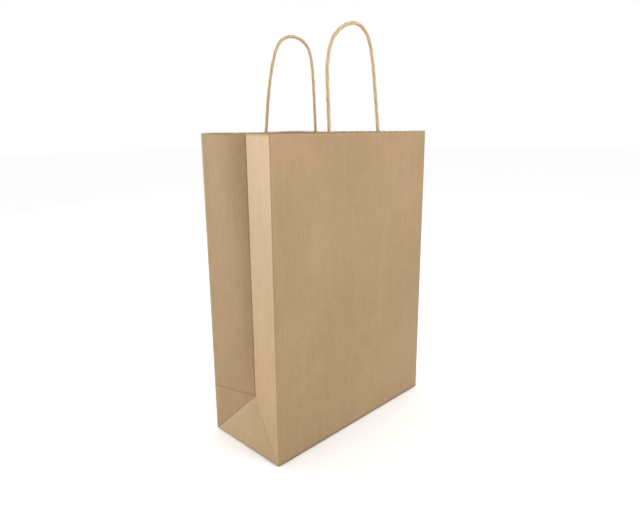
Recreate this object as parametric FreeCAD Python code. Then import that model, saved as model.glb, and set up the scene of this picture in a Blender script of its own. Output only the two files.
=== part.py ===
import FreeCAD, Part
import math
import os

# Kraft paper gift bag with two twisted paper cord handles, standing open.
# Millimetres. +X runs along the front panel, +Y into the bag, +Z up.
# The origin is the middle of the flat bottom. The back panel is the fixed
# piece; every other part of the folded sheet turns about a crease.

# ---- sizes set by hand -------------------------------------------------
BAG_WIDTH = 240.0          # along the front and back panels
BAG_HEIGHT = 330.0         # bottom to the tips of the saw-tooth edge
GUSSET_WIDTH = 110.0       # flat width of one side gusset
PAPER = 0.2                # one thickness of the sheet
GUSSET_FOLD_REST = 16.0    # degrees each gusset half leans in, bag open
GUSSET_FOLD_FLAT = 84.0    # degrees each gusset half leans in, bag flat
FOOT_FLIP_FLAT = 166.0     # degrees the foot strip turns up, bag flat

TOOTH_PITCH = 3.0          # pinked top edge
TOOTH_DEPTH = 1.4

FLAP_OVERLAP = 30.0        # how far the two bottom flaps lie over each other
TUCK_DEPTH = 42.0          # how far a side tuck reaches under the bottom
LAP_WIDTH = 18.0           # glued seam inside the back panel
LAP_INSET = 22.0           # from the back right corner to the seam

CORD_DIAMETER = 3.6        # twisted paper cord
PATCH_WIDTH = 112.0        # paper patches that hold a handle
PATCH_HEIGHT = 45.0
PATCH_PAPER = 0.25
PATCH_BELOW_EDGE = 2.0     # top of a patch below the bottoms of the teeth
LEG_END_MARGIN = 4.0       # cord end above the lower edge of its patch
BEND_ABOVE_EDGE = 8.0      # height at which a handle bends, over the tips

CREASE_GAP = 0.3           # paper left out along a sloping crease
GLUE_GAP = 0.02            # clearance between glued layers

# Handle centre lines as corner points (x, height above the saw-tooth tips).
# The first and last points are where the loop bends on its glued legs.
FRONT_HANDLE = [
    (-42.4, BEND_ABOVE_EDGE),
    (-44.2, 36.0),
    (-45.6, 64.0),
    (-36.5, 90.0),
    (-8.0, 105.2),
    (13.8, 97.2),
    (22.5, 73.0),
    (27.2, 43.5),
    (32.2, BEND_ABOVE_EDGE),
]
BACK_HANDLE = [
    (-35.8, BEND_ABOVE_EDGE),
    (-32.3, 38.0),
    (-26.6, 67.0),
    (-16.5, 95.5),
    (5.5, 105.5),
    (30.5, 97.0),
    (36.8, 72.0),
    (38.6, 42.0),
    (40.3, BEND_ABOVE_EDGE),
]

# ---- values that follow ------------------------------------------------
HALF = GUSSET_WIDTH / 2.0
REST = math.radians(GUSSET_FOLD_REST)
FLAT = math.radians(GUSSET_FOLD_FLAT)
DEPTH = 2.0 * HALF * math.cos(REST)
DEPTH_FLAT = 2.0 * HALF * math.cos(FLAT)
EDGE_X = BAG_WIDTH / 2.0 - PAPER
FRONT_IN = -DEPTH / 2.0
BACK_IN = DEPTH / 2.0
FRONT_OUT = FRONT_IN - PAPER
BACK_OUT = BACK_IN + PAPER
CENTRE_X = EDGE_X - HALF * math.sin(REST)
FLOOR_IN = 3.0 * (PAPER + GLUE_GAP)
RADIUS = CORD_DIAMETER / 2.0
CORD_IN = PATCH_PAPER + 2.0 * GLUE_GAP + RADIUS


def foot_crease_height():
    """Height of the crease over the foot strip, so that the bottom, folded
    up behind the back panel, still ends at the foot of the front panel."""
    flip = math.radians(FOOT_FLIP_FLAT)
    c = math.cos(flip)
    s = math.sin(flip)
    across = DEPTH_FLAT + PAPER - PAPER * c
    a = s * s + (1.0 - c) * (1.0 - c)
    b = 2.0 * (across * s - PAPER * s * (1.0 - c))
    k = across * across + PAPER * PAPER * s * s - DEPTH * DEPTH
    return FLOOR_IN + (-b + math.sqrt(b * b - 4.0 * a * k)) / (2.0 * a)


CREASE_Z = foot_crease_height()


def bottom_turn_flat():
    """Degrees that the bottom closes on the foot strip when the bag is flat."""
    flip = math.radians(FOOT_FLIP_FLAT)
    rise = CREASE_Z - FLOOR_IN
    y = DEPTH_FLAT + PAPER - PAPER * math.cos(flip) + rise * math.sin(flip)
    z = rise * (1.0 - math.cos(flip)) - PAPER * math.sin(flip)
    return FOOT_FLIP_FLAT - math.degrees(math.atan2(z, y))


def prism(points, direction):
    """Solid swept from a closed polygon of 3-D points."""
    wire = Part.makePolygon([FreeCAD.Vector(*p) for p in points + points[:1]])
    return Part.Face(wire).extrude(FreeCAD.Vector(*direction))


def box(x0, x1, y0, y1, z0, z1):
    return Part.makeBox(x1 - x0, y1 - y0, z1 - z0, FreeCAD.Vector(x0, y0, z0))


def saw_tooth(length):
    """Top edge as (distance, height) pairs, tips at the full height."""
    count = int(round(length / TOOTH_PITCH))
    step = length / count
    edge = []
    for i in range(count):
        edge.append((i * step, BAG_HEIGHT - TOOTH_DEPTH))
        edge.append(((i + 0.5) * step, BAG_HEIGHT))
    edge.append((length, BAG_HEIGHT - TOOTH_DEPTH))
    return edge


def wall(y_out, low):
    """Front or back panel from height low up to the saw-tooth edge."""
    top = saw_tooth(BAG_WIDTH)
    left = -BAG_WIDTH / 2.0
    points = [(left + u, y_out, z) for u, z in top]
    points += [(left + BAG_WIDTH, y_out, low), (left, y_out, low)]
    return prism(points, (0.0, PAPER, 0.0))


def gusset_half(side, front):
    """Whole half gusset standing on the floor level, before it is cut at the
    sloping and level creases. The corner crease is its inner surface, the
    centre crease its outer surface."""
    along = 1.0 if front else -1.0
    corner_y = FRONT_IN if front else BACK_IN
    corner = FreeCAD.Vector(side * EDGE_X, corner_y, 0.0)
    centre = FreeCAD.Vector(side * CENTRE_X, 0.0, 0.0)
    out = FreeCAD.Vector(side * math.cos(REST), along * math.sin(REST), 0.0)
    out.multiply(PAPER)
    plan = [corner, corner + out, centre, centre - out]
    wire = Part.makePolygon(plan + plan[:1])
    solid = Part.Face(wire).extrude(FreeCAD.Vector(0.0, 0.0, BAG_HEIGHT))
    # saw-tooth edge: take away what stands above it
    run = centre - corner
    run.normalize()
    start = corner - out * 20.0
    cut = []
    for u, z in saw_tooth(HALF):
        p = start + run * u
        cut.append((p.x, p.y, z))
    above = BAG_HEIGHT + 5.0
    first = start - run * 1.0
    last = start + run * (HALF + 1.0)
    cut.insert(0, (first.x, first.y, BAG_HEIGHT - TOOTH_DEPTH))
    cut.append((last.x, last.y, BAG_HEIGHT - TOOTH_DEPTH))
    cut.append((last.x, last.y, above))
    cut.append((first.x, first.y, above))
    through = out * 40.0
    return solid.cut(prism(cut, (through.x, through.y, 0.0)))


def slope_cutter(side, front, keep_above):
    """Prism across the bag that leaves what is above, or below, the crease
    from the bottom corner to the gusset centre."""
    corner_y = FRONT_IN if front else BACK_IN
    out_y = -1.0 if front else 1.0
    slope = (CREASE_Z - FLOOR_IN) / abs(corner_y)
    shift = CREASE_GAP * math.hypot(1.0, slope)
    if not keep_above:
        shift = -shift
    low = (side * 60.0, corner_y + out_y * 2.0, FLOOR_IN - 2.0 * slope + shift)
    high = (side * 60.0, -out_y * 2.0, CREASE_Z + 2.0 * slope + shift)
    z_far = -50.0 if keep_above else BAG_HEIGHT + 50.0
    ends = [(side * 60.0, high[1], z_far), (side * 60.0, low[1], z_far)]
    return prism([low, high] + ends, (side * 80.0, 0.0, 0.0))


def gusset_front(side):
    return gusset_half(side, True).cut(slope_cutter(side, True, True))


def gusset_back(side):
    low = box(-200.0, 200.0, -200.0, 200.0, -10.0, CREASE_Z + CREASE_GAP / 2.0)
    return gusset_half(side, False).cut(low)


def gusset_back_corner(side):
    high = box(-200.0, 200.0, -200.0, 200.0, CREASE_Z - CREASE_GAP / 2.0, 400.0)
    part = gusset_half(side, False).cut(high)
    return part.cut(slope_cutter(side, False, True))


def bottom_triangle(side):
    """Triangle between the bottom's side edge and the gusset centre."""
    foot = FreeCAD.Vector(side * EDGE_X, 0.0, FLOOR_IN)
    tip = FreeCAD.Vector(side * CENTRE_X, 0.0, CREASE_Z)
    up = tip - foot
    length = up.Length
    up.normalize()
    inset = CREASE_GAP * 2.0
    reach = length - inset * 1.5
    half = (BACK_IN - FRONT_IN) / 2.0 - inset * 2.0
    base = foot + up * (CREASE_GAP / 2.0)
    head = foot + up * reach
    out = FreeCAD.Vector(side * up.z, 0.0, -side * up.x)
    out.multiply(PAPER)
    points = [
        (base.x, -half, base.z),
        (base.x, half, base.z),
        (head.x, 0.0, head.z),
    ]
    return prism(points, (out.x, out.y, out.z))


def bottom_flap(front):
    """Outer (front) or inner (back) flap of the glued bottom."""
    reach = FLAP_OVERLAP / 2.0
    if front:
        y0, y1 = FRONT_OUT, reach
        z0 = 0.0
    else:
        y0, y1 = -reach, BACK_IN
        z0 = PAPER + GLUE_GAP
    # The free edge of a flap is cut off slantwise at both ends.
    free = y1 if front else y0
    fixed = y0 if front else y1
    middle = 0.0 if front else -reach / 2.0
    slant = abs(free - middle)
    points = [
        (-BAG_WIDTH / 2.0, fixed, z0),
        (-BAG_WIDTH / 2.0, middle, z0),
        (-BAG_WIDTH / 2.0 + slant, free, z0),
        (BAG_WIDTH / 2.0 - slant, free, z0),
        (BAG_WIDTH / 2.0, middle, z0),
        (BAG_WIDTH / 2.0, fixed, z0),
    ]
    return prism(points, (0.0, 0.0, PAPER))


def bottom_tuck(side):
    """Side tuck on the inside of the bottom, a trapezoid."""
    z0 = 2.0 * (PAPER + GLUE_GAP)
    x0 = EDGE_X - CREASE_GAP
    x1 = EDGE_X - TUCK_DEPTH
    y0 = FRONT_IN + CREASE_GAP
    y1 = BACK_IN - CREASE_GAP
    points = [
        (side * x0, y0, z0),
        (side * x0, y1, z0),
        (side * x1, y1 - TUCK_DEPTH, z0),
        (side * x1, y0 + TUCK_DEPTH, z0),
    ]
    return prism(points, (0.0, 0.0, PAPER))


def glue_lap(low, high):
    """Seam of the tube, glued inside the back panel."""
    right = EDGE_X - LAP_INSET
    y1 = BACK_IN - GLUE_GAP
    return box(right - LAP_WIDTH, right, y1 - PAPER, y1, low, high)


# ---- handles -----------------------------------------------------------
def cord_path(points, y):
    """Straight runs joined by arcs that are tangent to both runs."""
    lift = BAG_HEIGHT
    corner = [FreeCAD.Vector(x, y, lift + z) for x, z in points]
    edges = []
    radii = []
    start = corner[0]
    for a, b, c in zip(corner, corner[1:], corner[2:]):
        u = b - a
        v = c - b
        turn = u.getAngle(v)
        shorter = min(u.Length, v.Length)
        back = 0.45 * shorter
        radii.append(back / math.tan(turn / 2.0))
        u.normalize()
        v.normalize()
        p = b - u * back
        q = b + v * back
        bisector = v - u
        bisector.normalize()
        centre_gap = radii[-1] / math.cos(turn / 2.0)
        middle = b + bisector * (centre_gap - radii[-1])
        edges.append(Part.makeLine(start, p))
        edges.append(Part.Arc(p, middle, q).toShape())
        start = q
    edges.append(Part.makeLine(start, corner[-1]))
    return Part.Wire(edges), radii


def tube(wire):
    first = wire.Edges[0]
    place = first.valueAt(first.FirstParameter)
    heading = first.tangentAt(first.FirstParameter)
    ring = Part.Wire(Part.Circle(place, heading, RADIUS).toShape())
    return wire.makePipeShell([ring], True, False)


def leg_lines(points):
    """The glued leg below each end of a loop, in line with the loop."""
    low = BAG_HEIGHT - TOOTH_DEPTH - PATCH_BELOW_EDGE
    low += LEG_END_MARGIN - PATCH_HEIGHT
    lines = []
    for end, near in ((points[0], points[1]), (points[-1], points[-2])):
        top = BAG_HEIGHT + end[1]
        lean = (near[0] - end[0]) / (near[1] - end[1])
        lines.append((end[0] - lean * (top - low), low, end[0], top))
    return lines


def cord_lengths(points, y, low, high):
    """Straight lengths of both legs of a handle between two heights."""
    lengths = []
    for x0, z0, x1, z1 in leg_lines(points):
        lean = (x1 - x0) / (z1 - z0)
        foot = FreeCAD.Vector(x0 + lean * (low - z0), y, low)
        run = FreeCAD.Vector(x0 + lean * (high - z0), y, high) - foot
        lengths.append(Part.makeCylinder(RADIUS, run.Length - GLUE_GAP, foot, run))
    return Part.makeCompound(lengths)


def handle_ends(points, y):
    """What is glued between the patches, up to the bag's edge."""
    return cord_lengths(points, y, leg_lines(points)[0][1], BAG_HEIGHT)


def handle_necks(points, y):
    """The short free lengths over the edge, which bend."""
    return cord_lengths(points, y, BAG_HEIGHT, BAG_HEIGHT + BEND_ABOVE_EDGE)


def patch_span():
    top = BAG_HEIGHT - TOOTH_DEPTH - PATCH_BELOW_EDGE
    return top - PATCH_HEIGHT, top


def backing_patch(front):
    low, high = patch_span()
    if front:
        y0 = FRONT_IN + GLUE_GAP
    else:
        y0 = BACK_IN - GLUE_GAP - PATCH_PAPER
        if PATCH_WIDTH / 2.0 > EDGE_X - LAP_INSET - LAP_WIDTH:
            raise ValueError("the patch would sit on the glued seam")
    return box(-PATCH_WIDTH / 2.0, PATCH_WIDTH / 2.0, y0, y0 + PATCH_PAPER, low, high)


def cover_patch(points, front):
    """Paper over the two legs: flat on the backing patch, ridged over them."""
    low, high = patch_span()
    inward = 1.0 if front else -1.0
    face = FRONT_IN if front else BACK_IN
    flat0 = face + inward * (PATCH_PAPER + 2.0 * GLUE_GAP)
    flat1 = flat0 + inward * PATCH_PAPER
    axis = face + inward * CORD_IN
    y0, y1 = min(flat0, flat1), max(flat0, flat1)
    sheet = box(-PATCH_WIDTH / 2.0, PATCH_WIDTH / 2.0, y0, y1, low, high)
    bore = RADIUS + GLUE_GAP
    skin = bore + PATCH_PAPER
    for x0, z0, x1, z1 in leg_lines(points):
        lean = (x1 - x0) / (z1 - z0)
        foot = FreeCAD.Vector(x0 + lean * (low - 20.0 - z0), axis, low - 20.0)
        run = FreeCAD.Vector(lean, 0.0, 1.0)
        long = (PATCH_HEIGHT + 40.0) * run.Length
        ridge = Part.makeCylinder(skin, long, foot, run)
        shoulder = prism(
            [
                (foot.x - skin, flat0, foot.z),
                (foot.x - skin, axis, foot.z),
                (foot.x + skin, axis, foot.z),
                (foot.x + skin, flat0, foot.z),
            ],
            (lean * (PATCH_HEIGHT + 40.0), 0.0, PATCH_HEIGHT + 40.0),
        )
        hollow = Part.makeCylinder(bore, long, foot, run)
        channel = prism(
            [
                (foot.x - bore, flat0 - inward, foot.z),
                (foot.x - bore, axis, foot.z),
                (foot.x + bore, axis, foot.z),
                (foot.x + bore, flat0 - inward, foot.z),
            ],
            (lean * (PATCH_HEIGHT + 40.0), 0.0, PATCH_HEIGHT + 40.0),
        )
        sheet = sheet.fuse([ridge, shoulder]).cut(hollow).cut(channel)
    far = flat0 + inward * 20.0
    keep = box(
        -PATCH_WIDTH / 2.0,
        PATCH_WIDTH / 2.0,
        min(flat0, far),
        max(flat0, far),
        low,
        high,
    )
    return sheet.common(keep).removeSplitter()


def main():
    parts = {
        "front_panel": wall(FRONT_OUT, FLOOR_IN),
        "back_panel": wall(BACK_IN, CREASE_Z),
        "back_panel_foot": box(
            -BAG_WIDTH / 2.0, BAG_WIDTH / 2.0, BACK_IN, BACK_OUT, FLOOR_IN, CREASE_Z
        ),
        "bottom_front_flap": bottom_flap(True),
        "bottom_back_flap": bottom_flap(False),
        "glue_lap": glue_lap(CREASE_Z + CREASE_GAP, BAG_HEIGHT - TOOTH_DEPTH),
        "glue_lap_foot": glue_lap(FLOOR_IN + CREASE_GAP, CREASE_Z - CREASE_GAP),
    }
    for name, side in (("left", -1.0), ("right", 1.0)):
        parts[name + "_gusset_front"] = gusset_front(side)
        parts[name + "_gusset_back"] = gusset_back(side)
        parts[name + "_gusset_back_corner"] = gusset_back_corner(side)
        parts[name + "_bottom_triangle"] = bottom_triangle(side)
        parts[name + "_bottom_tuck"] = bottom_tuck(side)
    for name, points, front in (
        ("front", FRONT_HANDLE, True),
        ("back", BACK_HANDLE, False),
    ):
        y = FRONT_IN + CORD_IN if front else BACK_IN - CORD_IN
        wire, radii = cord_path(points, y)
        loop = tube(wire)
        parts[name + "_handle_cord"] = loop
        parts[name + "_handle_ends"] = handle_ends(points, y)
        parts[name + "_handle_necks"] = handle_necks(points, y)
        parts[name + "_handle_backing_patch"] = backing_patch(front)
        parts[name + "_handle_cover_patch"] = cover_patch(points, front)
        section = math.pi * RADIUS * RADIUS
        legs = sum(math.hypot(c - a, d - b) for a, b, c, d in leg_lines(points))
        print(name, "handle: loop length", round(wire.Length, 1), "with legs",
              round(wire.Length + legs, 1))
        print("  smallest bend radius", round(min(radii), 1), "diameters",
              round(min(radii) / CORD_DIAMETER, 1))
        print("  volume / (section x length)",
              round(loop.Volume / (section * wire.Length), 4))
    print("crease height", CREASE_Z, "floor level", FLOOR_IN, "depth", DEPTH)
    print("flat depth", DEPTH_FLAT, "bottom turn", bottom_turn_flat())
    print("corner x", EDGE_X, "centre x", CENTRE_X, "cord y", FRONT_IN + CORD_IN)
    os.makedirs("parts", exist_ok=True)
    for name, shape in parts.items():
        solids = len(shape.Solids)
        if not shape.isValid() or solids == 0:
            raise ValueError(name + " is not a sound solid")
        shape.exportStep(os.path.join("parts", name + ".step"))
        print(name, solids, "solid(s)", round(shape.Volume, 2), "mm3")


main()
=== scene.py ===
"""Looks of a kraft paper gift bag with twisted paper cord handles.

Metres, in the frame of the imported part: +X along the front panel, +Y into
the bag, +Z up, the origin in the middle of the flat bottom.
"""

import logging
import math
from dataclasses import dataclass, field
from enum import Enum
from typing import Dict, List, Optional, Sequence, Tuple

import bmesh
import bpy
from mathutils import Matrix, Vector, noise


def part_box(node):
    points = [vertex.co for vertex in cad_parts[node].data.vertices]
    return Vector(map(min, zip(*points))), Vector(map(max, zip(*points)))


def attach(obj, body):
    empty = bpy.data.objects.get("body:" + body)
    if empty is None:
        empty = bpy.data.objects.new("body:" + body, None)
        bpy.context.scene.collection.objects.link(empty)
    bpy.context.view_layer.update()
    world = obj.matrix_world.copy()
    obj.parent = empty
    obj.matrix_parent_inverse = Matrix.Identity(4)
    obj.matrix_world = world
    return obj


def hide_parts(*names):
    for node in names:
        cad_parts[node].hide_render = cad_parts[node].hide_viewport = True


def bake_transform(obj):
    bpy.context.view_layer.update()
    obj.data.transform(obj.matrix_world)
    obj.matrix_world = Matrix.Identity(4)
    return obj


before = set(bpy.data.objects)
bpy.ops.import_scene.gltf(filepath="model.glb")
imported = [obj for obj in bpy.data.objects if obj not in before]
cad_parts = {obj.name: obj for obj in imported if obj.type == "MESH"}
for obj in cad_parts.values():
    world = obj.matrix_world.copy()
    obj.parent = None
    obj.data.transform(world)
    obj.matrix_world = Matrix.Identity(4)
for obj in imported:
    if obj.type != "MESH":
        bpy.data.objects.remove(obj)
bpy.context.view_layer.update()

logging.basicConfig(level=logging.INFO, format="%(message)s")
LOG = logging.getLogger("gift_bag")

MM = 0.001
HALF_WIDTH = 119.8 * MM
HALF_DEPTH = 53.07 * MM
Point = Tuple[float, float, float]


class Side(Enum):
    """Left or right gusset, as the sign of its X."""

    LEFT = -1.0
    RIGHT = 1.0

    @property
    def word(self) -> str:
        """Name of the side in the node names."""
        return self.name.lower()


class Face(Enum):
    """Front or back panel, as the sign of its Y."""

    FRONT = -1.0
    BACK = 1.0

    @property
    def word(self) -> str:
        """Name of the face in the node names."""
        return self.name.lower()


# ---- shader maths --------------------------------------------------------
class Sock:
    """A shader socket that takes part in Python arithmetic."""

    def __init__(self, graph: "Graph", socket: bpy.types.NodeSocket) -> None:
        """Keep the graph and the socket."""
        self.graph = graph
        self.socket = socket

    def _math(self, operation: str, *values: object) -> "Sock":
        """Add one Math node.

        Args:
            operation: The node's operation.
            values: Its inputs, as numbers or sockets.

        Returns:
            The result.
        """
        inputs = dict(enumerate(values))
        return self.graph.node("ShaderNodeMath", inputs, operation=operation)

    def __add__(self, other: object) -> "Sock":
        """Sum."""
        return self._math("ADD", self, other)

    def __radd__(self, other: object) -> "Sock":
        """Sum."""
        return self._math("ADD", other, self)

    def __sub__(self, other: object) -> "Sock":
        """Difference."""
        return self._math("SUBTRACT", self, other)

    def __rsub__(self, other: object) -> "Sock":
        """Difference, the other way round."""
        return self._math("SUBTRACT", other, self)

    def __mul__(self, other: object) -> "Sock":
        """Product."""
        return self._math("MULTIPLY", self, other)

    def __rmul__(self, other: object) -> "Sock":
        """Product."""
        return self._math("MULTIPLY", other, self)

    def __truediv__(self, other: object) -> "Sock":
        """Quotient."""
        return self._math("DIVIDE", self, other)

    def above(self, low: float, high: float) -> "Sock":
        """Smooth step from 0 at low to 1 at high.

        Args:
            low: Value that gives 0.
            high: Value that gives 1.

        Returns:
            The step.
        """
        return self.graph.node(
            "ShaderNodeMapRange",
            {"Value": self, "From Min": low, "From Max": high},
            interpolation_type="SMOOTHSTEP",
        )


class Graph:
    """Builds one material's node tree."""

    def __init__(self, name: str) -> None:
        """Start a material with an empty tree.

        Args:
            name: The material's name.
        """
        self.material = bpy.data.materials.new(name)
        self.material.use_nodes = True
        self.tree = self.material.node_tree
        self.tree.nodes.clear()

    def node(
        self,
        kind: str,
        inputs: Optional[Dict[object, object]] = None,
        out: object = 0,
        **settings: object,
    ) -> Sock:
        """Add a node, its settings first and then its inputs.

        Args:
            kind: The node's type.
            inputs: Values or sockets by input name or number.
            out: Which output to give back.
            settings: The node's own settings.

        Returns:
            The output asked for.
        """
        made = self.tree.nodes.new(kind)
        for key, value in settings.items():
            setattr(made, key, value)
        for key, value in (inputs or {}).items():
            target = made.inputs[key]
            if isinstance(value, Sock):
                self.tree.links.new(value.socket, target)
            else:
                target.default_value = value
        if not made.outputs:
            return Sock(self, made.inputs[0])
        return Sock(self, made.outputs[out])

    def place(self, scale: Point, turn: Point = (0.0, 0.0, 0.0)) -> Sock:
        """Object coordinates, scaled and turned.

        Args:
            scale: Factors along X, Y and Z, per metre.
            turn: Angles in radians.

        Returns:
            The vector.
        """
        spot = self.node("ShaderNodeTexCoord", out="Object")
        return self.node(
            "ShaderNodeMapping", {"Vector": spot, "Scale": scale, "Rotation": turn}
        )

    def grain(
        self, scale: Point, detail: float = 3.0, rough: float = 0.55, warp: float = 0.0
    ) -> Sock:
        """Noise over the object coordinates.

        Args:
            scale: Cells per metre along each axis.
            detail: Octaves.
            rough: Share kept by each octave.
            warp: Distortion.

        Returns:
            Value from 0 to 1.
        """
        return self.node(
            "ShaderNodeTexNoise",
            {
                "Vector": self.place(scale),
                "Scale": 1.0,
                "Detail": detail,
                "Roughness": rough,
                "Distortion": warp,
            },
            out=0,
        )

    def attribute(self, name: str) -> Sock:
        """A number stored on the mesh."""
        return self.node("ShaderNodeAttribute", out="Fac", attribute_name=name)

    def mix(self, share: object, a: object, b: object) -> Sock:
        """Colour a where share is 0 and b where it is 1.

        Args:
            share: Mixing share.
            a: First colour.
            b: Second colour.

        Returns:
            The mixed colour.
        """
        made = self.tree.nodes.new("ShaderNodeMix")
        made.data_type = "RGBA"
        for number, value in ((0, share), (6, a), (7, b)):
            if isinstance(value, Sock):
                self.tree.links.new(value.socket, made.inputs[number])
            elif number == 0:
                made.inputs[number].default_value = value
            else:
                made.inputs[number].default_value = (*value, 1.0)
        return Sock(self, made.outputs[2])

    def bump(self, height: Sock, distance: float, strength: float = 1.0) -> Sock:
        """Bump from a height.

        Args:
            height: Height from 0 to 1.
            distance: Depth in metres.
            strength: Share of the effect.

        Returns:
            The normal.
        """
        return self.node(
            "ShaderNodeBump",
            {"Height": height, "Distance": distance, "Strength": strength},
        )

    def surface(
        self, colour: Sock, rough: Sock, normal: Sock, specular: float
    ) -> bpy.types.Material:
        """Close the tree with a Principled surface.

        Args:
            colour: Base colour.
            rough: Roughness.
            normal: Normal.
            specular: Even specular level.

        Returns:
            The finished material.
        """
        shader = self.node(
            "ShaderNodeBsdfPrincipled",
            {
                "Base Color": colour,
                "Roughness": rough,
                "Normal": normal,
                "Specular IOR Level": specular,
            },
        )
        self.node("ShaderNodeOutputMaterial", {"Surface": shader})
        return self.material


Colour = Tuple[float, float, float]


@dataclass(frozen=True)
class KraftPaper:
    """Unbleached kraft: fine vertical fibre, soft clouding, pale creases that are partly
    crease wear and partly painted highlight.
    """

    name: str = "kraft_paper"
    ground: Colour = (0.318, 0.207, 0.103)
    dark: Colour = (0.27, 0.172, 0.083)
    light: Colour = (0.372, 0.248, 0.130)
    worn_and_highlight: Colour = (0.47, 0.345, 0.215)
    specular: float = 0.45

    def make(self) -> bpy.types.Material:
        """Build the material.

        Returns:
            The material.
        """
        g = Graph(self.name)
        blotch = g.grain((11.0, 11.0, 9.0), detail=2.0, rough=0.45)
        cloud = g.grain((70.0, 70.0, 60.0), detail=4.0, rough=0.6)
        mottle = g.grain((340.0, 340.0, 300.0), detail=3.0, rough=0.6)
        fibre = g.grain((900.0, 900.0, 260.0), detail=4.0, rough=0.65)
        streak = g.grain((420.0, 420.0, 16.0), detail=2.0, rough=0.5)
        fleck = g.grain((1300.0, 1300.0, 500.0), detail=2.0, rough=0.5, warp=0.8)
        share = blotch * 0.34 + cloud * 0.2 + mottle * 0.28 + streak * 0.18
        body = g.mix(share.above(0.36, 0.64), self.dark, self.light)
        body = g.mix(0.45, body, self.ground)
        flecked = g.mix(fleck.above(0.62, 0.76) * 0.4, body, self.light)
        flecked = g.mix((1.0 - fleck.above(0.26, 0.38)) * 0.4, flecked, self.dark)
        # Pale line along the creases: partly crease wear, partly painted highlight.
        crease = g.attribute("crease")
        worn_and_highlight = crease * (fibre * 0.5 + 0.6)
        colour = g.mix(worn_and_highlight * 0.55, flecked, self.worn_and_highlight)
        rough = 0.56 + fibre * 0.16
        height = fibre * 0.5 + mottle * 0.3 + streak * 0.2
        normal = g.bump(height, 0.00010, 0.9)
        return g.surface(colour, rough, normal, self.specular)


@dataclass(frozen=True)
class PatchPaper:
    """Plainer kraft of the patches that hold the handles."""

    name: str = "patch_paper"
    ground: Colour = (0.55, 0.37, 0.21)
    dark: Colour = (0.45, 0.29, 0.155)
    specular: float = 0.4

    def make(self) -> bpy.types.Material:
        """Build the material.

        Returns:
            The material.
        """
        g = Graph(self.name)
        fibre = g.grain((260.0, 900.0, 900.0), detail=4.0, rough=0.65)
        cloud = g.grain((60.0, 60.0, 60.0), detail=3.0)
        colour = g.mix((fibre * 0.6 + cloud * 0.4).above(0.32, 0.68), self.dark, self.ground)
        rough = 0.6 + fibre * 0.15
        return g.surface(colour, rough, g.bump(fibre, 0.00008), self.specular)


@dataclass(frozen=True)
class CordPaper:
    """Paper twisted into a cord: pale crests, with painted shade darker in the grooves."""

    name: str = "paper_cord"
    crest: Colour = (0.58, 0.435, 0.25)
    groove_shade: Colour = (0.31, 0.205, 0.105)
    specular: float = 0.4

    def make(self) -> bpy.types.Material:
        """Build the material.

        Returns:
            The material.
        """
        g = Graph(self.name)
        depth = g.attribute("crest")
        fibre = g.grain((1200.0, 1200.0, 500.0), detail=3.0, rough=0.6)
        cloud = g.grain((60.0, 60.0, 45.0), detail=2.0)
        # Darker towards the grooves between the strands: painted shade in the recesses.
        share = (depth * 0.5 + fibre * 0.25 + cloud * 0.5 - 0.12).above(0.12, 0.95)
        colour = g.mix(share, self.groove_shade, self.crest)
        rough = 0.58 + fibre * 0.16
        return g.surface(colour, rough, g.bump(fibre, 0.00012), self.specular)


# ---- mesh helpers --------------------------------------------------------
def finish_mesh(
    name: str,
    mesh: bmesh.types.BMesh,
    material: bpy.types.Material,
    smooth: bool = True,
) -> bpy.types.Object:
    """Turn a bmesh into an object at the origin.

    Args:
        name: The piece's name.
        mesh: Its mesh, in the frame's metres.
        material: Its finish.
        smooth: Whether faces are shaded smooth.

    Returns:
        The object.
    """
    data = bpy.data.meshes.new(name)
    mesh.to_mesh(data)
    mesh.free()
    data.polygons.foreach_set("use_smooth", [smooth] * len(data.polygons))
    data.materials.append(material)
    piece = bpy.data.objects.new(name, data)
    bpy.context.scene.collection.objects.link(piece)
    return piece


def thicken(
    piece: bpy.types.Object,
    thickness: float,
    inside: Optional[bpy.types.Material] = None,
) -> None:
    """Give a sheet its thickness, inwards from its outer face.

    Args:
        piece: The sheet.
        thickness: Metres.
        inside: Finish of its inner face and cut edge, if it differs.
    """
    solid = piece.modifiers.new("paper", "SOLIDIFY")
    solid.thickness = thickness
    solid.offset = -1.0
    solid.use_even_offset = False
    if inside is not None:
        piece.data.materials.append(inside)
        solid.material_offset = 1
        solid.material_offset_rim = 1


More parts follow.
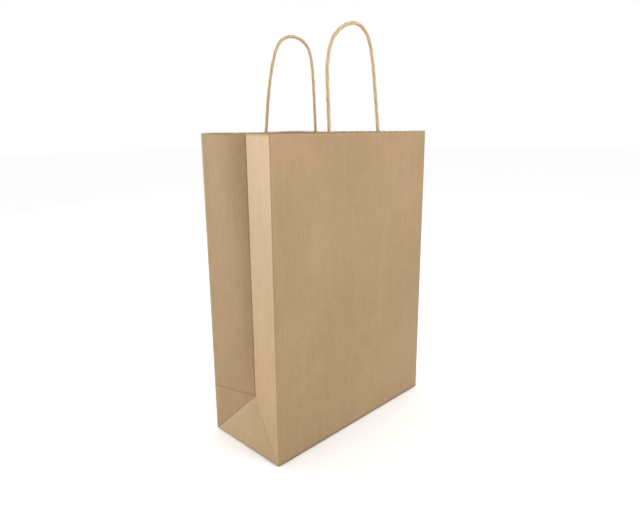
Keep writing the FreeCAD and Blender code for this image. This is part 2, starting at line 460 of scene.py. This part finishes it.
@dataclass
class Facet:
    """One flat facet of the folded sheet, as a grid over (u, v) from 0 to 1.

    Attributes:
        name: Piece and node name.
        body: CAD body that it rides on.
        low_left: Corner at u = 0, v = 0, metres.
        low_right: Corner at u = 1, v = 0.
        high_left: Corner at u = 0, v = 1.
        high_right: Corner at u = 1, v = 1.
        outward: Rough direction of its outer face.
        columns: Grid columns.
        rows: Grid rows.
        creases: Strength of the pale line on each crease, by edge: "left", "right", "low",
            "high"; partly crease wear and partly painted highlight.
        toothed: Whether the high edge is saw-toothed.
        bow: How far its middle stands out of the plane, metres.
        top_bow: How far the middle of its high edge stands out, metres.
        skew: Above 1, the bow gathers towards u = 1.
        rise: How far the middle of its free edge is pulled up, metres.
        lift: How far the rim of the base curls up, metres.
        ripple: Height of its small unevenness, metres.
        tooth_depth: Depth of the saw-tooth notches, metres.
        middle_line: Strength of the pale line on a flattened crease from low to high, half
            way; partly crease wear and partly painted highlight.
    """

    name: str
    body: str
    low_left: Vector
    low_right: Vector
    high_left: Vector
    high_right: Vector
    outward: Vector
    columns: int
    rows: int
    creases: Dict[str, float]
    toothed: bool = False
    bow: float = 0.0
    top_bow: float = 0.0
    skew: float = 1.0
    rise: float = 0.0
    lift: float = 0.0
    ripple: float = 0.0003
    tooth_depth: float = 2.0 * MM
    middle_line: float = 0.0

    def _spot(self, u: float, v: float) -> Vector:
        """Place of (u, v) on the flat facet."""
        low = self.low_left.lerp(self.low_right, u)
        high = self.high_left.lerp(self.high_right, u)
        return low.lerp(high, v)

    def _crease(self, u: float, v: float, spot: Vector) -> float:
        """Strength of the nearest crease line at a place, 1 on it.

        Args:
            u: Share across.
            v: Share up.
            spot: The same place in space.

        Returns:
            From 0 to 1.
        """
        ends = {
            "left": (self.low_left, self.high_left),
            "right": (self.low_right, self.high_right),
            "low": (self.low_left, self.low_right),
            "high": (self.high_left, self.high_right),
        }
        line = 0.0
        # Each crease's weight sets its pale line: partly crease wear, partly painted
        # highlight.
        for edge, wear_and_highlight in self.creases.items():
            a, b = ends[edge]
            run = b - a
            if run.length < 1e-6:
                continue
            share = max(0.0, min(1.0, (spot - a).dot(run) / run.length_squared))
            near = (spot - (a + run * share)).length
            sharp = math.exp(-((near / (0.6 * MM)) ** 2))
            soft = math.exp(-((near / (3.0 * MM)) ** 2))
            line = max(line, wear_and_highlight * (0.7 * sharp + 0.3 * soft))
        if self.middle_line:
            a = self.low_left.lerp(self.low_right, 0.5)
            b = self.high_left.lerp(self.high_right, 0.5)
            run = b - a
            share = max(0.0, min(1.0, (spot - a).dot(run) / run.length_squared))
            off = (spot - (a + run * share)).length
            faded = self.middle_line * (1.0 - 0.8 * share)
            line = max(line, faded * math.exp(-((off / (0.9 * MM)) ** 2)))
        return min(1.0, line)

    def build(
        self,
        material: bpy.types.Material,
        inside: bpy.types.Material,
        paper: float,
    ) -> bpy.types.Object:
        """Make the facet's sheet.

        Args:
            material: Finish of its outer face.
            inside: Finish of its inner face.
            paper: Thickness in metres.

        Returns:
            The piece, riding on its body in place of its node.
        """
        mesh = bmesh.new()
        bmesh.ops.create_grid(
            mesh, x_segments=self.columns, y_segments=self.rows, size=0.5
        )
        layer = mesh.verts.layers.float.new("crease")
        seed = Vector((sum(map(ord, self.name)) * 0.37, 1.7, 4.1))
        for vert in mesh.verts:
            u = vert.co.x + 0.5
            v = vert.co.y + 0.5
            # columns gather near the creases, so that the lines stay sharp
            column = int(round(u * self.columns))
            row = int(round(v * self.rows))
            if not self.toothed:
                u = 0.5 - 0.5 * math.cos(math.pi * u) * 0.9 + (u - 0.5) * 0.1
                u = min(1.0, max(0.0, u))
                if column == 0:
                    u = 0.0
                if column == self.columns:
                    u = 1.0
            spot = self._spot(u, v)
            # Pale crease line for the finish: partly crease wear, partly painted highlight.
            vert[layer] = self._crease(u, v, spot)
            if self.toothed and row == self.rows and column % 2 == 0:
                spot.z -= self.tooth_depth
            free_high = 0.0 if "high" in self.creases else 1.0
            peak = self.skew / (self.skew + 1.0)
            across = u**self.skew * (1.0 - u) / (peak**self.skew * (1.0 - peak))
            up = min(1.0, 5.0 * v) * min(1.0, max(0.0, (0.85 - v) * 4.0))
            if self.skew > 1.0:
                up = min(1.0, 5.0 * v)
            if "high" in self.creases:
                up = 4.0 * v * (1.0 - v)
            out = self.bow * across * up
            out += self.top_bow * across * v * v * free_high
            held = min(1.0, across * 3.0)
            held *= min(1.0, (v * 12.0) if "low" in self.creases else 1.0)
            held *= min(1.0, ((1.0 - v) * 12.0) if "high" in self.creases else 1.0)
            wave = noise.noise(spot * 13.0 + seed) + 0.35 * noise.noise(
                spot * 40.0 + seed
            )
            out += self.ripple * max(0.0, 0.7 + wave) * held
            spot.z += self.rise * math.exp(-(((u - 0.53) / 0.13) ** 2)) * v**12
            rim = min(HALF_WIDTH - abs(spot.x), HALF_DEPTH - abs(spot.y))
            near = (max(0.0, spot.z) + max(0.0, rim)) / (14.0 * MM)
            spot.z += self.lift * max(0.0, 1.0 - near) ** 2
            vert.co = spot + self.outward.normalized() * out
        bmesh.ops.remove_doubles(mesh, verts=mesh.verts, dist=1e-6)
        bmesh.ops.dissolve_degenerate(mesh, edges=mesh.edges, dist=1e-7)
        mesh.normal_update()
        lean = sum((f.normal * f.calc_area() for f in mesh.faces), Vector())
        if lean.dot(self.outward) < 0.0:
            bmesh.ops.reverse_faces(mesh, faces=mesh.faces)
        piece = finish_mesh(self.name + "_sheet", mesh, material)
        thicken(piece, paper, inside)
        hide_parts(self.name)
        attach(piece, self.body)
        LOG.info("%s rides on %s", piece.name, self.body)
        return piece


@dataclass
class FoldedSheet:
    """The kraft sheet, folded at its creases into a bag.

    Attributes:
        width: Along the panels.
        height: To the tips of the saw-tooth edge.
        half: One half of a gusset, crease to crease.
        lean: Angle that a gusset half leans in.
        paper: Thickness of the sheet.
        floor: Height of the bottom's inner face.
        pitch: Pitch of the saw-tooth edge.
    """

    width: float = 240.0 * MM
    height: float = 330.0 * MM
    half: float = 55.0 * MM
    lean: float = math.radians(16.0)
    paper: float = 0.2 * MM
    floor: float = 0.66 * MM
    pitch: float = 3.0 * MM
    lift: float = 1.2 * MM
    finish: KraftPaper = field(default_factory=KraftPaper)
    inner_finish: KraftPaper = field(
        default_factory=lambda: KraftPaper(
            name="kraft_paper_inside",
            ground=(0.245, 0.158, 0.078),
            dark=(0.20, 0.126, 0.060),
            light=(0.285, 0.188, 0.098),
            worn_and_highlight=(0.33, 0.23, 0.13),
            specular=0.2,
        )
    )

    def __post_init__(self) -> None:
        """Work out the crease places from the CAD and the sizes."""
        self.crease_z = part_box("back_panel")[0][2]
        self.front_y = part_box("front_panel")[0][1]
        self.back_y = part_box("back_panel")[1][1]
        self.edge_x = self.width / 2.0
        self.centre_x = self.edge_x - self.paper - self.half * math.sin(self.lean)

    def _teeth(self, length: float) -> int:
        """Grid columns along a toothed edge: two for each tooth."""
        return 2 * int(round(length / self.pitch))

    def walls(self) -> List[Facet]:
        """Front panel, back panel and foot strip.

        Returns:
            The facets.
        """
        x = self.edge_x
        teeth = self._teeth(self.width)
        low = self.floor
        return [
            Facet(
                "front_panel",
                "front_panel",
                Vector((-x, self.front_y, low)),
                Vector((x, self.front_y, low)),
                Vector((-x, self.front_y, self.height)),
                Vector((x, self.front_y, self.height)),
                Vector((0.0, -1.0, 0.0)),
                teeth,
                70,
                {"left": 0.35, "right": 0.35, "low": 0.3},
                toothed=True,
                bow=1.0 * MM,
                rise=0.3 * MM,
                lift=self.lift,
            ),
            Facet(
                "back_panel",
                "back_panel",
                Vector((-x, self.back_y, self.crease_z)),
                Vector((x, self.back_y, self.crease_z)),
                Vector((-x, self.back_y, self.height)),
                Vector((x, self.back_y, self.height)),
                Vector((0.0, 1.0, 0.0)),
                teeth,
                60,
                {"left": 0.35, "right": 0.35, "low": 0.3},
                toothed=True,
                bow=1.0 * MM,
                rise=1.2 * MM,
            ),
            Facet(
                "back_panel_foot",
                "back_foot",
                Vector((-x, self.back_y, low)),
                Vector((x, self.back_y, low)),
                Vector((-x, self.back_y, self.crease_z)),
                Vector((x, self.back_y, self.crease_z)),
                Vector((0.0, 1.0, 0.0)),
                80,
                24,
                {"left": 0.35, "right": 0.35, "low": 0.3, "high": 0.35},
                bow=0.3 * MM,
                lift=self.lift,
            ),
        ]

    def gusset(self, side: Side) -> List[Facet]:
        """The facets of one gusset.

        Args:
            side: Which gusset.

        Returns:
            Front half, back half, back corner and bottom triangle.
        """
        s = side.value
        word = side.word
        corner_x = s * self.edge_x
        centre_x = s * self.centre_x
        front = self.front_y + self.paper
        back = self.back_y - self.paper
        top = self.height
        foot_front = Vector((corner_x, front, self.floor))
        foot_back = Vector((corner_x, back, self.floor))
        apex = Vector((centre_x, 0.0, self.crease_z))
        crease_back = Vector((corner_x, back, self.crease_z))
        lean_x = math.cos(self.lean)
        lean_y = math.sin(self.lean)
        teeth = self._teeth(self.half)
        rise = self.crease_z - self.floor
        tip_out = Vector((s * rise, 0.0, self.edge_x - self.centre_x))
        return [
            Facet(
                word + "_gusset_front",
                word + "_gusset_front",
                foot_front,
                apex,
                Vector((corner_x, front, top)),
                Vector((centre_x, 0.0, top)),
                Vector((s * lean_x, lean_y, 0.0)),
                teeth,
                60,
                {"left": 0.35, "right": 0.25, "low": 0.55},
                toothed=True,
                bow=0.3 * MM,
                ripple=0.0001,
                lift=self.lift,
            ),
            Facet(
                word + "_gusset_back",
                word + "_gusset_back",
                crease_back,
                apex,
                Vector((corner_x, back, top)),
                Vector((centre_x, 0.0, top)),
                Vector((s * lean_x, -lean_y, 0.0)),
                teeth,
                60,
                {"left": 0.35, "right": 0.1, "low": 0.3},
                toothed=True,
                bow=1.7 * MM,
                skew=2.0,
                ripple=0.00015,
            ),
            Facet(
                word + "_gusset_back_corner",
                word + "_gusset_back_corner",
                foot_back,
                foot_back,
                crease_back,
                apex,
                Vector((s * lean_x, -lean_y, 0.0)),
                24,
                24,
                {"left": 0.3, "right": 0.1, "high": 0.25},
                lift=self.lift,
            ),
            Facet(
                word + "_bottom_triangle",
                word + "_bottom_triangle",
                foot_front,
                foot_back,
                apex,
                apex,
                tip_out,
                60,
                40,
                {"left": 0.4, "right": 0.12, "low": 0.3},
                middle_line=0.5,
                lift=self.lift,
            ),
        ]

    def base(self) -> List[Facet]:
        """The flaps and side tucks of the flat bottom.

        Returns:
            The facets.
        """
        facets = []
        down = Vector((0.0, 0.0, -1.0))
        for face in Face:
            node = "bottom_" + face.word + "_flap"
            low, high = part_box(node)
            fixed, free = (low[1], high[1])
            if face is Face.BACK:
                fixed, free = free, fixed
            facets.append(
                Facet(
                    node,
                    "bottom",
                    Vector((low[0], fixed, low[2])),
                    Vector((high[0], fixed, low[2])),
                    Vector((low[0], free, low[2])),
                    Vector((high[0], free, low[2])),
                    down,
                    90,
                    40,
                    {"left": 0.3, "right": 0.3, "low": 0.3},
                    ripple=0.0,
                    lift=self.lift,
                )
            )
        for side in Side:
            node = side.word + "_bottom_tuck"
            low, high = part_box(node)
            reach = high[0] - low[0]
            outer = high[0] if side is Side.RIGHT else low[0]
            inner = low[0] if side is Side.RIGHT else high[0]
            facets.append(
                Facet(
                    node,
                    "bottom",
                    Vector((outer, low[1], low[2])),
                    Vector((outer, high[1], low[2])),
                    Vector((inner, low[1] + reach, low[2])),
                    Vector((inner, high[1] - reach, low[2])),
                    down,
                    40,
                    30,
                    {"left": 0.2, "right": 0.2, "low": 0.3},
                    ripple=0.0,
                    lift=self.lift,
                )
            )
        return facets

    def build(self) -> List[bpy.types.Object]:
        """Make every facet, and dress the glued laps of the seam.

        Returns:
            The new pieces.
        """
        material = self.finish.make()
        facets = self.walls()
        for side in Side:
            facets += self.gusset(side)
        facets += self.base()
        inside = self.inner_finish.make()
        pieces = [f.build(material, inside, self.paper) for f in facets]
        for node in ("glue_lap", "glue_lap_foot"):
            dress(node, inside)
        return pieces


def dress(node: str, material: bpy.types.Material) -> None:
    """Give a CAD node a finish.

    Args:
        node: The node's name.
        material: The finish.
    """
    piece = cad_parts[node]
    if not isinstance(piece, bpy.types.Object):
        piece = bpy.data.objects[node]
    for spot in piece.material_slots:
        spot.material = material
    if not piece.material_slots:
        piece.data.materials.append(material)


# ---- handles -------------------------------------------------------------
@dataclass
class TwistedHandle:
    """A handle: one length of twisted paper cord, its two ends glued.

    Attributes:
        face: Which panel holds it.
        route: Corner points (x, height over the edge), in millimetres, from
            one glued end to the other.
        length: The cord's real length; not used.
        diameter: Its thickness.
        strands: How many strands show round it.
        lay: Length of one turn of a strand.
        inset: Cord centre behind the panel's outer face.
    """

    face: Face
    route: Sequence[Tuple[float, float]]
    length: float
    diameter: float = 3.6 * MM
    strands: int = 3
    lay: float = 42.0 * MM
    inset: float = 2.29 * MM
    height: float = 330.0 * MM
    around: int = 30
    step: float = 0.8 * MM

    def _line(self) -> List[Vector]:
        """Read the centre line from a NURBS spline through the route.

        Returns:
            Points in order, metres.
        """
        y = self.plane_y()
        curve = bpy.data.curves.new(self.face.word + "_route", "CURVE")
        curve.dimensions = "3D"
        spline = curve.splines.new("NURBS")
        spline.points.add(len(self.route) - 1)
        for point, (x, z) in zip(spline.points, self.route):
            point.co = (x * MM, y, self.height + z * MM, 1.0)
        spline.order_u = 3
        spline.use_endpoint_u = True
        curve.resolution_u = 24
        holder = bpy.data.objects.new(curve.name, curve)
        bpy.context.scene.collection.objects.link(holder)
        line = bpy.data.meshes.new_from_object(holder)
        points = [v.co.copy() for v in line.vertices]
        bpy.data.objects.remove(holder)
        bpy.data.meshes.remove(line)
        bpy.data.curves.remove(curve)
        return points

    def legs(self) -> List[Tuple[Tuple[float, float], Tuple[float, float]]]:
        """Low and high end of each glued leg.

        Returns:
            For each leg its two (x, height) places, metres.
        """
        found = []
        for first, second in ((0, 2), (-1, -3)):
            (x0, z0), (x1, z1) = self.route[first], self.route[second]
            found.append(
                (
                    (x0 * MM, self.height + z0 * MM),
                    (x1 * MM, self.height + z1 * MM),
                )
            )
        return found

    def plane_y(self) -> float:
        """Y of the cord's centre at rest."""
        node = "front_panel" if self.face is Face.FRONT else "back_panel"
        low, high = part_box(node)
        if self.face is Face.FRONT:
            return low[1] + self.inset
        return high[1] - self.inset

    def _even(self, points: Sequence[Vector]) -> Tuple[List[Vector], List[float]]:
        """Walk the line in even steps.

        Args:
            points: The line.

        Returns:
            Places and their distances along it.
        """
        lengths = [0.0]
        for a, b in zip(points, points[1:]):
            lengths.append(lengths[-1] + (b - a).length)
        total = lengths[-1]
        count = int(round(total / self.step))
        places: List[Vector] = []
        marks: List[float] = []
        k = 0
        for i in range(count + 1):
            d = total * i / count
            while k < len(lengths) - 2 and lengths[k + 1] < d:
                k += 1
            span = lengths[k + 1] - lengths[k]
            places.append(points[k].lerp(points[k + 1], (d - lengths[k]) / span))
            marks.append(d)
        return places, marks

    def build(self, material: bpy.types.Material) -> bpy.types.Object:
        """Make the cord as one twisted mesh.

        Args:
            material: Its finish.

        Returns:
            The piece.
        """
        points = self._line()
        places, marks = self._even(points)
        rings = len(places) - 1
        mesh = bmesh.new()
        bmesh.ops.create_grid(
            mesh, x_segments=self.around, y_segments=rings, size=0.5
        )
        layer = mesh.verts.layers.float.new("crest")
        out_y = Vector((0.0, 1.0, 0.0))
        radius = self.diameter / 2.0
        for vert in mesh.verts:
            ring = min(rings, max(0, int(round((vert.co.y + 0.5) * rings))))
            turn = 2.0 * math.pi * (vert.co.x + 0.5)
            here = places[ring]
            ahead = places[min(rings, ring + 1)] - places[max(0, ring - 1)]
            along = ahead.normalized()
            beside = along.cross(out_y).normalized()
            mark = marks[ring]
            wander = 1.1 * noise.noise(Vector((mark * 42.0, self.face.value, 3.0)))
            phase = 2.0 * math.pi * mark / self.lay + wander
            lobe = abs(math.cos(self.strands * (turn - phase) / 2.0))
            crest = lobe**0.6
            pleat = 0.5 + 0.5 * math.cos(7.0 * (turn - phase * 1.3))
            uneven = 1.0 + 0.05 * noise.noise(
                Vector((mark * 90.0, math.cos(turn - phase), math.sin(turn - phase)))
            )
            r = radius * uneven * (0.90 + 0.09 * crest + 0.015 * pleat)
            crest = min(1.0, 0.75 * crest + 0.25 * pleat)
            # crest drives the cord finish's painted groove shade, darker away from the
            # strand crests.
            vert[layer] = crest
            vert.co = here + (beside * math.cos(turn) + out_y * math.sin(turn)) * r
        bmesh.ops.remove_doubles(mesh, verts=mesh.verts, dist=1e-6)
        rims = [e for e in mesh.edges if e.is_boundary]
        bmesh.ops.holes_fill(mesh, edges=rims, sides=0)
        bmesh.ops.recalc_face_normals(mesh, faces=mesh.faces)
        word = self.face.word
        piece = finish_mesh(word + "_twisted_cord", mesh, material)
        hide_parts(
            word + "_handle_cord",
            word + "_handle_necks",
            word + "_handle_ends",
        )
        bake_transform(piece)
        LOG.info("%s bends from %s_panel to %s_handle", piece.name, word, word)
        return piece


@dataclass
class HandlePatch:
    """A strip of paper behind or over the glued legs of one handle.

    Attributes:
        face: Which panel holds it.
        cover: Whether it lies over the legs, moulded round them.
        legs: The legs as (x, height) pairs for their low and high ends,
            metres.
        proud: How far the legs lift the cover.
        spread: How wide each lifted ridge is.
        paper: Thickness of the strip.
    """

    face: Face
    cover: bool
    legs: Sequence[Tuple[Tuple[float, float], Tuple[float, float]]]
    proud: float = 3.66 * MM
    spread: float = 2.45 * MM
    paper: float = 0.25 * MM

    def _lift(self, x: float, z: float) -> float:
        """How far the strip is lifted off the panel at a place.

        Args:
            x: Along the panel, metres.
            z: Height, metres.

        Returns:
            Metres.
        """
        most = 0.0
        for (x0, z0), (x1, z1) in self.legs:
            middle = x0 + (x1 - x0) * (z - z0) / (z1 - z0)
            off = abs(x - middle) / self.spread
            most = max(most, self.proud * math.exp(-(off**3)))
        return most

    def build(self, material: bpy.types.Material) -> bpy.types.Object:
        """Make the strip.

        Args:
            material: Its finish.

        Returns:
            The piece, riding on its panel in place of its node.
        """
        word = "cover" if self.cover else "backing"
        node = self.face.word + "_handle_" + word + "_patch"
        low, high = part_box(node)
        inward = -self.face.value
        against = low[1] if self.face is Face.FRONT else high[1]
        mesh = bmesh.new()
        bmesh.ops.create_grid(mesh, x_segments=280, y_segments=30, size=0.5)
        seed = Vector((self.face.value * 3.0, 0.5 if self.cover else 2.5, 0.0))
        for vert in mesh.verts:
            u, v = vert.co.x + 0.5, vert.co.y + 0.5
            x = low[0] + (high[0] - low[0]) * u
            z = low[2] + (high[2] - low[2]) * v
            off = self._lift(x, z) if self.cover else 0.0
            off += 0.04 * MM * abs(noise.noise(Vector((x, z, 0.0)) * 90.0 + seed))
            vert.co = Vector((x, against + inward * off, z))
        mesh.normal_update()
        lean = sum((f.normal * f.calc_area() for f in mesh.faces), Vector())
        if lean.y * inward > 0.0:
            bmesh.ops.reverse_faces(mesh, faces=mesh.faces)
        piece = finish_mesh(self.face.word + "_" + word + "_patch", mesh, material)
        thicken(piece, self.paper)
        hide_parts(node)
        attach(piece, self.face.word + "_panel")
        return piece


@dataclass
class Handles:
    """Both cord handles and the paper patches that hold them."""

    cord: CordPaper = field(default_factory=CordPaper)
    patch: PatchPaper = field(default_factory=PatchPaper)

    def build(self) -> List[bpy.types.Object]:
        """Make the cords and the patches.

        Returns:
            The new pieces.
        """
        cord = self.cord.make()
        patch = self.patch.make()
        front = TwistedHandle(
            Face.FRONT,
            (
                (-39.0, -44.4),
                (-40.6, -24.0),
                (-42.3, 4.0),
                (-44.2, 36.0),
                (-45.6, 64.0),
                (-36.5, 90.0),
                (-8.0, 105.2),
                (13.8, 97.2),
                (22.5, 73.0),
                (27.2, 43.5),
                (32.9, 4.0),
                (36.9, -24.0),
                (39.6, -44.4),
            ),
            0.331,
        )
        back = TwistedHandle(
            Face.BACK,
            (
                (-41.9, -44.4),
                (-39.4, -24.0),
                (-36.2, 4.0),
                (-32.3, 38.0),
                (-26.6, 67.0),
                (-16.5, 95.5),
                (5.5, 105.5),
                (30.5, 97.0),
                (36.8, 72.0),
                (38.6, 42.0),
                (40.6, 4.0),
                (41.8, -24.0),
                (42.9, -44.4),
            ),
            0.331,
        )
        pieces = [front.build(cord), back.build(cord)]
        for handle in (front, back):
            for cover in (False, True):
                strip = HandlePatch(handle.face, cover, handle.legs())
                pieces.append(strip.build(patch))
        return pieces


# ---- studio --------------------------------------------------------------
@dataclass
class Studio:
    """Pale floor, soft lights and the camera.

    Attributes:
        eye: Camera place, metres.
        yaw: Turn of the view from +Y towards +X, degrees.
        pitch: Angle that it looks down, degrees.
        roll: Lean of the camera, degrees.
        lens: Focal length over a 36 mm frame.
    """

    eye: Point = (-0.42515, -0.4135, 0.333)
    yaw: float = 45.484
    pitch: float = 13.44
    roll: float = -0.426
    lens: float = 29.789

    def camera(self) -> None:
        """Set the camera."""
        yaw, pitch = math.radians(self.yaw), math.radians(self.pitch)
        ahead = Vector(
            (
                math.sin(yaw) * math.cos(pitch),
                math.cos(yaw) * math.cos(pitch),
                -math.sin(pitch),
            )
        )
        right = Vector((math.cos(yaw), -math.sin(yaw), 0.0))
        above = right.cross(ahead)
        lean = math.radians(self.roll)
        side = right * math.cos(lean) + above * math.sin(lean)
        top = above * math.cos(lean) - right * math.sin(lean)
        turn = Matrix((side, top, -ahead)).transposed()
        data = bpy.data.cameras.new("camera")
        data.lens = self.lens
        data.sensor_width = 36.0
        data.sensor_fit = "HORIZONTAL"
        data.clip_start = 0.01
        camera = bpy.data.objects.new("camera", data)
        camera.matrix_world = Matrix.Translation(self.eye) @ turn.to_4x4()
        bpy.context.scene.collection.objects.link(camera)
        bpy.context.scene.camera = camera

    def floor(self) -> None:
        """Lay the floor."""
        g = Graph("studio_floor")
        shader = g.node(
            "ShaderNodeBsdfPrincipled",
            {
                "Base Color": (0.975, 0.975, 0.975, 1.0),
                "Roughness": 0.9,
                "Specular IOR Level": 0.0,
            },
        )
        g.node("ShaderNodeOutputMaterial", {"Surface": shader})
        mesh = bmesh.new()
        bmesh.ops.create_grid(mesh, x_segments=1, y_segments=1, size=8.0)
        bmesh.ops.translate(mesh, verts=mesh.verts, vec=(0.0, 0.0, -0.0002))
        floor = finish_mesh("floor", mesh, g.material, smooth=False)

    def _panel(self, name: str, place: Point, size: float, watts: float) -> None:
        """Hang one soft light that faces the bag.

        Args:
            name: Its name.
            place: Its middle, metres.
            size: Its side, metres.
            watts: Its power.
        """
        data = bpy.data.lights.new(name, "AREA")
        data.shape = "SQUARE"
        data.size = size
        data.energy = watts
        light = bpy.data.objects.new(name, data)
        aim = Vector((0.0, 0.0, 0.18)) - Vector(place)
        light.matrix_world = (
            Matrix.Translation(place) @ aim.to_track_quat("-Z", "Y").to_matrix().to_4x4()
        )
        bpy.context.scene.collection.objects.link(light)

    def lights(self) -> None:
        """Hang the lights and set the pale surroundings."""
        world = bpy.data.worlds.new("studio")
        world.use_nodes = True
        back = world.node_tree.nodes["Background"]
        back.inputs["Color"].default_value = (1.0, 1.0, 1.0, 1.0)
        back.inputs["Strength"].default_value = 1.0
        bpy.context.scene.world = world
        self._panel("key", (-0.8, 1.4, 0.38), 0.4, 22.0)
        self._panel("fill", (0.12, -0.65, 0.74), 0.35, 3.0)
        bpy.context.scene.view_settings.view_transform = "Standard"

    def build(self) -> None:
        """Set up the studio."""
        self.camera()
        self.floor()
        self.lights()


def main() -> None:
    """Build the studio, the sheet and the handles."""
    Studio().build()
    pieces = FoldedSheet().build()
    pieces += Handles().build()
    LOG.info("%d new pieces", len(pieces))


if __name__ == "__main__":
    main()
